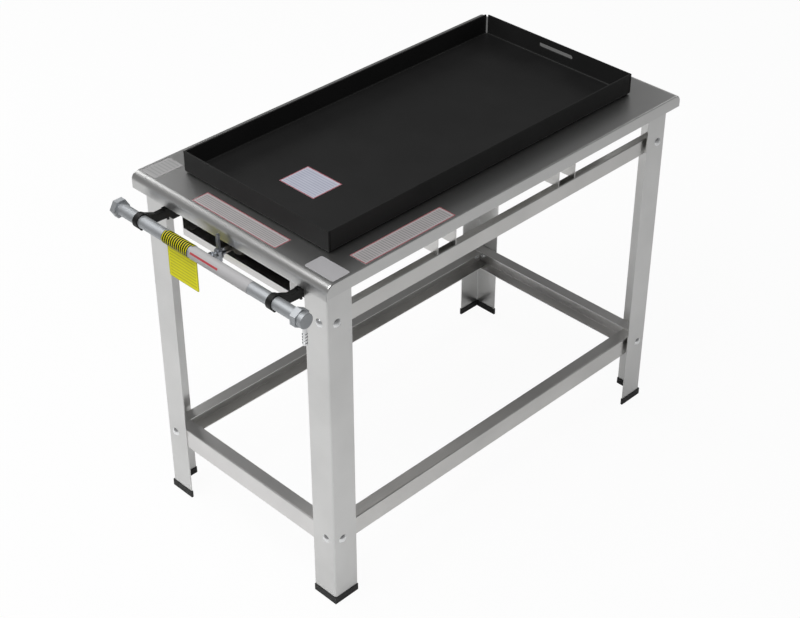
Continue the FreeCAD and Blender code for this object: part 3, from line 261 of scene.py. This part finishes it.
# Frame fasteners. M8 carriage bolts with low domed heads, hexagon nuts behind the flanges and
# short spacers between flange and rail. They are steel with a bright zinc plate, which puts a
# small sharp glint on each head.
bright_zinc = grained("bright_zinc_plate", "#f0f1f2", metallic=1.0, roughness=0.26, grit=700,
                      relief=0.02)
dress(bright_zinc, "frame_bolts", "frame_nuts", "rail_spacers")

# Table top. One stainless sheet, rolled over a round edge at the front and rear and folded
# down along the sides. Its finish is more even than the legs', so it mirrors the black tray as
# a soft dark edge where the tray stands.
table_sheet = satin_sheet("smooth_stainless_table", "#d4d4d3", roughness=0.32,
                          grain=(900, 8, 900), spread=0.002, relief=0.0003, cloudiness=0.03)
dress(table_sheet, "table_top")

# Cross supports. Four folded brackets between the upper side rails and the burner box, which
# hang the box and stiffen the table. They are cut from the same satin sheet as the side rails.
dress(side_rail_sheet, *["cross_support_" + corner for corner in CORNERS])

# Burner box. A long folded tray of stainless sheet under the opening of the table, with round
# vents in its rear end, and two saddles spot welded to its floor that carry the burner. The
# sheet is satin, with a coarser grain along the box.
box_sheet = satin_sheet("folded_stainless_box", "#e1e0df", roughness=0.31, grain=(500, 8, 500))
dress(box_sheet, "burner_box", "burner_saddle_front", "burner_saddle_rear")

# Burner. A steel tube with rows of ports and a welded disc at its end, which heat has tinted
# a brownish grey, and in front a cast mixer bell with a turning air shutter. The bell and
# shutter are coloured near black as painted shade, for the shadow under the table where they
# sit.
burner_steel = grained("heat_tinted_steel", "#5f5a56", metallic=1.0, roughness=0.45, grit=800,
                       relief=0.05, mottle=0.2)
dress(burner_steel, "burner_tube", "burner_end_disc")
# Near black here is painted shade: the mixer and shutter sit in the shadow under the table.
painted_shade_iron = grained("cast_iron_painted_shade_black", "#26211f", metallic=0.0, roughness=0.55, grit=700,
                       relief=0.08, mottle=0.15)
dress(painted_shade_iron, "burner_mixer", "air_shutter")

# Gas injector. A turned brass jet between the cock and the mixer, nickel plated, so that it
# looks grey and only faintly warm.
nickel = grained("nickel_plated_brass", "#9c9890", metallic=1.0, roughness=0.4, grit=900,
                 relief=0.03)
dress(nickel, "gas_injector")

# Manifold pipe. A steel tube with a hexagon cap screwed on at the left, and at the right a
# fitting with a hexagon collar. Their zinc plate is matt and bluish. The ribbed hose barb that
# is screwed in below the fitting has the brighter plate of the bolts.
matt_zinc = grained("matt_zinc_plate", "#b6b9bc", metallic=1.0, roughness=0.58, grit=900,
                    relief=0.03)
dress(matt_zinc, "manifold_pipe", "pipe_end_cap", "outlet_fitting")
dress(bright_zinc, "hose_barb")

# Pipe clamps. Moulded nylon hooks that grip the pipe with a set screw below, their arms screwed
# to tabs that hang from the table. The hooks and their screws are deep black, with a dull sheen.
# The steel tabs get the same black as painted shade, for the shadow under the table where they
# hang.
black_nylon_and_tab_shade = grained("black_nylon_and_painted_tab_shade", "#131313", metallic=0.0, roughness=0.45, grit=900,
                      relief=0.08, shine=0.3)
# The tabs are steel; this black on them is painted shade.
dress(black_nylon_and_tab_shade, "pipe_clamp_left", "pipe_clamp_right", "clamp_tab_left", "clamp_tab_right",
      "clamp_screws")

# Gas cock. A small plug cock on a nipple in the pipe: body, tapered plug with a flat key, and
# the nut that holds the plug, of cast brass with a dull chrome plate, cold grey and half bright.
dull_chrome = grained("dull_chrome_plate", "#a6a9ae", metallic=1.0, roughness=0.34, grit=900,
                      relief=0.04)
dress(dull_chrome, "valve_nipple", "valve_body", "valve_plug", "valve_key", "plug_nut")

# Spiral wrap. A band of yellow polyethylene wound round the pipe, turn beside turn, with a
# narrow space between turns. It is an extruded strip with a rounded face, and it holds the rings
# of the tag. The edges of each turn are painted near black: painted shade for the shadow between
# turns.
wrap_pitch = 0.0054
band_width = 0.0052
band_thickness = 0.0008
band_sides = 10
steps_in_turn = 40
wrap_low, wrap_high = (Vector(corner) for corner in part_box("spiral_wrap"))
wrap_middle = (wrap_low + wrap_high) / 2
band_radius = (wrap_high.z - wrap_low.z) / 2 - band_thickness / 2
wrap_turns = int((wrap_high.x - wrap_low.x - band_width) / wrap_pitch)
wound_length = wrap_turns * wrap_pitch
bpy.ops.object.select_all(action="DESELECT")
bpy.ops.mesh.primitive_circle_add(vertices=band_sides, radius=0.5, rotation=(math.pi / 2, 0, 0))
spiral = bpy.context.object
spiral.name = "wound_spiral_wrap"
bpy.ops.object.transform_apply(location=True, rotation=True, scale=True)
bpy.ops.object.mode_set(mode="EDIT")
bpy.ops.mesh.select_all(action="SELECT")
bpy.ops.transform.resize(value=(band_width, 1, band_thickness))
bpy.ops.transform.translate(value=(-wound_length / 2, 0, band_radius))
bpy.ops.object.mode_set(mode="OBJECT")
winding = spiral.modifiers.new("winding", "SCREW")
winding.axis = "X"
winding.screw_offset = wrap_pitch
winding.iterations = wrap_turns
winding.steps = steps_in_turn
winding.render_steps = steps_in_turn
bpy.ops.object.modifier_apply(modifier="winding")
bpy.ops.object.mode_set(mode="EDIT")
bpy.ops.mesh.select_all(action="SELECT")
bpy.ops.mesh.fill_holes(sides=0)
bpy.ops.mesh.select_all(action="SELECT")
bpy.ops.mesh.normals_make_consistent(inside=False)
bpy.ops.transform.translate(value=wrap_middle)
bpy.ops.object.mode_set(mode="OBJECT")
bpy.ops.object.shade_smooth_by_angle(angle=math.radians(50))


def wound_band(name, crown, shade_colour):
    """A wound band with a plain yellow crown and edges painted near black as painted shade, for
    the shadow between turns. The painted shade follows the winding: along the pipe, less a pitch
    for each turn round it. The two shares of the pitch below, off the crown, are where the
    painted shade begins and where it is full."""
    # Shares of the pitch off the crown: where the painted shade between turns begins, and where
    # it is full.
    unshaded_to = 0.11
    full_shade_from = 0.21
    material, tree = new_material(name)
    place = add_node(tree, "ShaderNodeTexCoord")
    axes = add_node(tree, "ShaderNodeSeparateXYZ", {0: place.outputs["Object"]})
    turned = [add_node(tree, "ShaderNodeMath", {0: axes.outputs[axis], 1: wrap_middle[axis]},
                       operation="SUBTRACT").outputs[0] for axis in range(3)]
    angle = add_node(tree, "ShaderNodeMath", {0: turned[1], 1: turned[2]},
                     operation="ARCTAN2")
    part_turn = add_node(tree, "ShaderNodeMath", {0: angle.outputs[0], 1: 1 / math.tau},
                         operation="MULTIPLY")
    along = add_node(tree, "ShaderNodeMath", {0: turned[0], 1: 1 / wrap_pitch},
                     operation="MULTIPLY")
    phase = add_node(tree, "ShaderNodeMath", {0: along.outputs[0], 1: part_turn.outputs[0]},
                     operation="ADD")
    shifted = add_node(tree, "ShaderNodeMath", {0: phase.outputs[0],
                                                1: 0.5 + wound_length / 2 / wrap_pitch},
                       operation="ADD")
    within = add_node(tree, "ShaderNodeMath", {0: shifted.outputs[0]}, operation="FRACT")
    off_crown = add_node(tree, "ShaderNodeMath", {0: within.outputs[0], 1: 0.5},
                         operation="SUBTRACT")
    to_edge = add_node(tree, "ShaderNodeMath", {0: off_crown.outputs[0]},
                       operation="ABSOLUTE")
    # Painted shade on the edges of each turn, for the shadow between turns.
    painted_shade = add_node(tree, "ShaderNodeMapRange", {"Value": to_edge.outputs[0],
                                                 "From Min": unshaded_to,
                                                 "From Max": full_shade_from})
    colours = add_node(tree, "ShaderNodeMix", {0: painted_shade.outputs[0], 6: linear(crown),
                                               7: linear(shade_colour)}, data_type="RGBA")
    grains = add_node(tree, "ShaderNodeTexNoise", {"Vector": place.outputs["Object"],
                                                   "Scale": 900.0, "Detail": 3.0})
    bump = add_node(tree, "ShaderNodeBump", {"Height": grains.outputs[0], "Strength": 0.03,
                                             "Distance": 0.001})
    skin = add_node(tree, "ShaderNodeBsdfPrincipled", {
        "Base Color": colours.outputs[2], "Roughness": 0.5, "Specular IOR Level": 0.2,
        "Normal": bump.outputs[0]})
    add_node(tree, "ShaderNodeOutputMaterial", {"Surface": skin.outputs[0]})
    return material


# The near black #080703 is painted shade on the edges of the turns, for the shadow between them.
spiral.data.materials.append(wound_band("yellow_polyethylene_band", "#d8d210", "#080703"))
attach(spiral, "frame")
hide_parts("spiral_wrap")


# Hanging tag. A blank sheet of yellow vinyl on two small wire rings, with faint ruled rows
# where a form would be filled in. It is cut from flat sheet, even in colour and hardly shiny.
def ruled_film(name, node, film, rule, border, step, thickness, upright=False, ink=0.5,
               border_inset=0.0010, border_width=0.0018, margin=0.005, shine=0.5,
               row_shift=0.0, row_length=1.0):
    """A blank form on film or paper: a thin border just inside its edge and plain ruled rows
    along X within it. step is from row to row, ink is how strong the rows are, margin is how far
    they stay from the edge, and row_length is the share of the form's length that they run."""
    clouds_in_metre = 30.0
    material, tree = new_material(name)
    low, high = (Vector(corner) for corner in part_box(node))
    place = add_node(tree, "ShaderNodeTexCoord")
    axes = add_node(tree, "ShaderNodeSeparateXYZ", {0: place.outputs["Object"]})
    insets = []
    for axis in (0, 2 if upright else 1):  # the rows are counted along the second
        centred = add_node(tree, "ShaderNodeMath", {0: axes.outputs[axis],
                                                    1: (low[axis] + high[axis]) / 2},
                           operation="SUBTRACT")
        out = add_node(tree, "ShaderNodeMath", {0: centred.outputs[0]}, operation="ABSOLUTE")
        inset = add_node(tree, "ShaderNodeMath", {0: (high[axis] - low[axis]) / 2,
                                                  1: out.outputs[0]}, operation="SUBTRACT")
        insets.append(inset.outputs[0])
    nearest = add_node(tree, "ShaderNodeMath", {0: insets[0], 1: insets[1]},
                       operation="MINIMUM")
    on_border = add_node(tree, "ShaderNodeMath", {0: nearest.outputs[0],
                                                  1: border_inset, 2: border_width / 2},
                         operation="COMPARE")
    rows = add_node(tree, "ShaderNodeMath", {0: centred.outputs[0], 1: 1 / step,
                                             2: row_shift / step}, operation="MULTIPLY_ADD")
    before_end = add_node(tree, "ShaderNodeMath", {
        0: axes.outputs[0], 1: low.x + row_length * (high.x - low.x)}, operation="LESS_THAN")
    row_place = add_node(tree, "ShaderNodeMath", {0: rows.outputs[0]}, operation="FRACT")
    on_row = add_node(tree, "ShaderNodeMath", {0: row_place.outputs[0], 1: thickness / step},
                      operation="LESS_THAN")
    in_field = add_node(tree, "ShaderNodeMath", {0: nearest.outputs[0], 1: margin},
                        operation="GREATER_THAN")
    ruled = add_node(tree, "ShaderNodeMath", {0: on_row.outputs[0], 1: in_field.outputs[0]},
                     operation="MULTIPLY")
    cut = add_node(tree, "ShaderNodeMath", {0: ruled.outputs[0], 1: before_end.outputs[0]},
                   operation="MULTIPLY")
    inked = add_node(tree, "ShaderNodeMath", {0: cut.outputs[0], 1: ink},
                     operation="MULTIPLY")
    cloud = add_node(tree, "ShaderNodeTexNoise", {"Vector": place.outputs["Object"],
                                                  "Scale": clouds_in_metre, "Detail": 2.0})
    tint = add_node(tree, "ShaderNodeMapRange", {"Value": cloud.outputs[0], "From Min": 0.3,
                                                 "From Max": 0.7, "To Min": 0.96,
                                                 "To Max": 1.04})
    ground = add_node(tree, "ShaderNodeVectorMath", {0: linear(film)[:3]}, operation="SCALE")
    tree.links.new(tint.outputs[0], ground.inputs["Scale"])
    with_rows = add_node(tree, "ShaderNodeMix", {0: inked.outputs[0], 6: ground.outputs[0],
                                                 7: linear(rule)}, data_type="RGBA")
    with_border = add_node(tree, "ShaderNodeMix", {0: on_border.outputs[0],
                                                   6: with_rows.outputs[2],
                                                   7: linear(border)}, data_type="RGBA")
    skin = add_node(tree, "ShaderNodeBsdfPrincipled", {
        "Base Color": with_border.outputs[2], "Roughness": 0.45,
        "Specular IOR Level": shine})
    add_node(tree, "ShaderNodeOutputMaterial", {"Surface": skin.outputs[0]})
    dress(material, node)


ruled_film("yellow_vinyl_tag", "hanging_tag", film="#ece700", rule="#5f5c0c", border="#bdb900",
           step=0.0066, thickness=0.0030, upright=True, ink=0.3, border_inset=0.0006, shine=0.2)
dress(bright_zinc, "tag_rings")

# Griddle tray. Mild steel plate, folded up at its four sides and seasoned with oil. The burnt
# oil makes a skin that is almost black and satin, with a soft mottle.
seasoned = grained("oil_seasoned_black_steel", "#1a1a1a", metallic=0.0, roughness=0.5, grit=260,
                   relief=0.03, mottle=0.12, shine=0.28)
dress(seasoned, "griddle_tray")

# Stickers. Blank forms on white self-adhesive film with a thin red border and ruled rows, on the
# table and in the tray, and a plain strip with one red line that is stuck round the pipe. The
# film is a pale grey white with a low gloss.
ruled_film("white_film_front", "front_label", film="#aba6a7", rule="#58605c", border="#94494f",
           step=0.0046, thickness=0.0024)
ruled_film("white_film_side", "side_label", film="#aba6a7", rule="#58605c", border="#94494f",
           step=0.0058, thickness=0.0030)
ruled_film("white_film_left", "left_label", film="#9b9a9a", rule="#7a7d7c", border="#9b9a9a",
           step=0.0080, thickness=0.0030, ink=0.6)
ruled_film("white_film_tray", "tray_label", film="#b4b6c2", rule="#7d829c", border="#a04a54",
           step=0.0062, thickness=0.0024)
ruled_film("white_film_pipe", "pipe_sticker", film="#acabac", rule="#b3202e", border="#acabac",
           step=0.0600, thickness=0.0034, upright=True, ink=0.9, margin=0.003,
           row_shift=-0.0042, row_length=0.5)

# Corner plate. A small blank plate of anodised aluminium with round corners, stuck flat at the
# front right corner of the table. Its thick satin anodising looks pale grey from every side.
plate = grained("satin_anodised_plate", "#a3a2a4", metallic=0.0, roughness=0.4, grit=900,
                relief=0.02, mottle=0.03)
dress(plate, "corner_plate")
